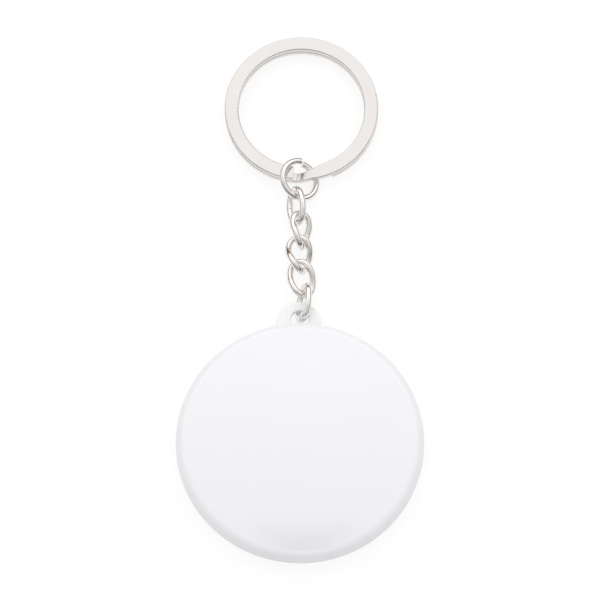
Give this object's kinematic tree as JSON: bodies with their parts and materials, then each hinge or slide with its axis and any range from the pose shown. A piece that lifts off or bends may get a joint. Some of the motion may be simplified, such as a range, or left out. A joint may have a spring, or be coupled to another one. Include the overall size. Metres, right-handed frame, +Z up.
{
  "type": "button badge keyring",
  "caption": "Round domed button badge whose white plastic back has a tab, joined by a short twisted chain and a wire jump ring to a flat split ring for keys.",
  "frame": {"origin": "middle of the badge's back, on the table that the badge lies on", "axes": "+Z up out of the badge's face, +Y from the badge along the chain to the split ring, +X to the right"},
  "size_m": [0.044, 0.0999, 0.0079],
  "materials": {
    "tinplate": "bright tinned sheet",
    "white_paper": "plain white printed paper",
    "clear_film": "clear glossy polyester film over the white paper",
    "white_plastic": "semi-gloss moulded white plastic",
    "nickel_wire": "bright nickel plate",
    "nickel_strip": "bright nickel plate"
  },
  "bodies": {
    "badge": {"front_shell": "tinplate", "artwork_disc": "white_paper", "clear_film": "clear_film", "back_cover": "white_plastic"},
    "link_5": {"link_5": "nickel_wire"},
    "link_4": {"link_4": "nickel_wire"},
    "link_3": {"link_3": "nickel_wire"},
    "link_2": {"link_2": "nickel_wire"},
    "link_1": {"link_1": "nickel_wire"},
    "jump_ring": {"jump_ring": "nickel_wire"},
    "split_ring": {"split_ring": "nickel_strip"}
  },
  "joints": [
    {"name": "tab_joint", "type": "hinge", "parent": "badge", "child": "link_5", "pos_m": [0.00054, 0.02553, 0.00245], "axis": [-0.8879, 0.1059, 0.4478], "range_deg": [-75, 75]},
    {"name": "chain_joint_4", "type": "hinge", "parent": "link_5", "child": "link_4", "pos_m": [0.00092, 0.028, 0.00245], "axis": [0.8506, 0.1715, -0.497], "range_deg": [-60, 60]},
    {"name": "chain_joint_3", "type": "hinge", "parent": "link_4", "child": "link_3", "pos_m": [0.00021, 0.03256, 0.00245], "axis": [-0.3807, -0.0387, 0.9239], "range_deg": [-60, 60]},
    {"name": "chain_joint_2", "type": "hinge", "parent": "link_3", "child": "link_2", "pos_m": [0.00026, 0.03716, 0.00245], "axis": [0.2181, 0.0049, -0.9759], "range_deg": [-60, 60]},
    {"name": "chain_joint_1", "type": "hinge", "parent": "link_2", "child": "link_1", "pos_m": [-0.00042, 0.04179, 0.00245], "axis": [-0.6162, -0.0517, -0.7859], "range_deg": [-60, 60]},
    {"name": "jump_ring_joint", "type": "hinge", "parent": "link_1", "child": "jump_ring", "pos_m": [0, 0.0466, 0.00237], "axis": [0.8829, 0, -0.4695], "range_deg": [-75, 75]},
    {"name": "split_ring_swivel", "type": "hinge", "parent": "jump_ring", "child": "split_ring", "pos_m": [0, 0.0524, 0.00175], "axis": [0, 1, 0], "range_deg": [-90, 0]}
  ]
}
